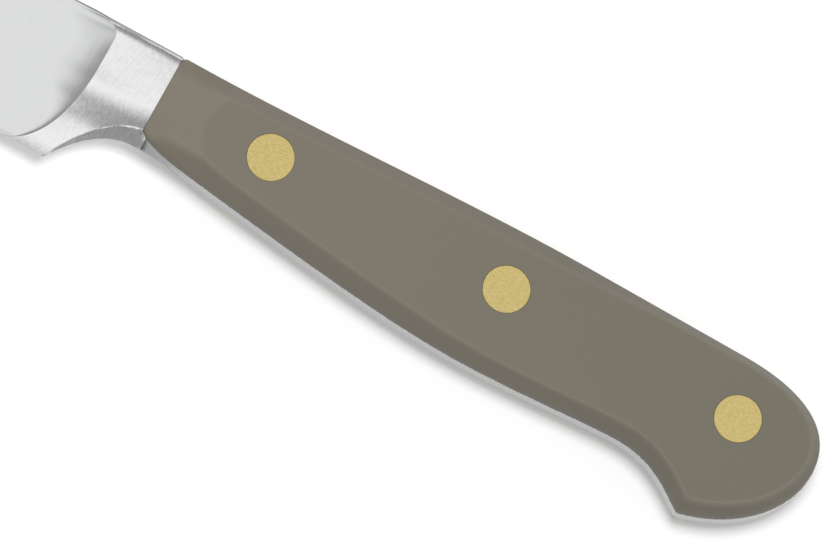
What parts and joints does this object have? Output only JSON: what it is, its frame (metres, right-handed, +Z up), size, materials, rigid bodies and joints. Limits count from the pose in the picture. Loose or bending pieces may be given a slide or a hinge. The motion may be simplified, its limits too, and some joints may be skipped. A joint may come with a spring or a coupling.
{
  "type": "sausage knife",
  "caption": "Forged kitchen knife with a scalloped edge, a bolster with a finger arc, a full tang and moulded handle scales held by flush brass rivets.",
  "frame": {"origin": "under the middle of the knife's box, on the surface that the right scale rests on", "axes": "+X from the blade's point to the butt, +Y from the cutting edge to the spine, +Z up, out of the left scale"},
  "size_m": [0.2556, 0.0242, 0.012],
  "materials": {
    "steel": "satin, brushed across the blade",
    "scale_plastic": "grey-brown moulded plastic, satin",
    "brass": "pale brass, ground flush with the scales"
  },
  "bodies": {
    "root": {"blade_forging": "steel", "left_scale": "scale_plastic", "right_scale": "scale_plastic", "front_rivet_post": "brass", "front_rivet_sleeve": "brass", "middle_rivet_post": "brass", "middle_rivet_sleeve": "brass", "rear_rivet_post": "brass", "rear_rivet_sleeve": "brass"}
  },
  "joints": []
}
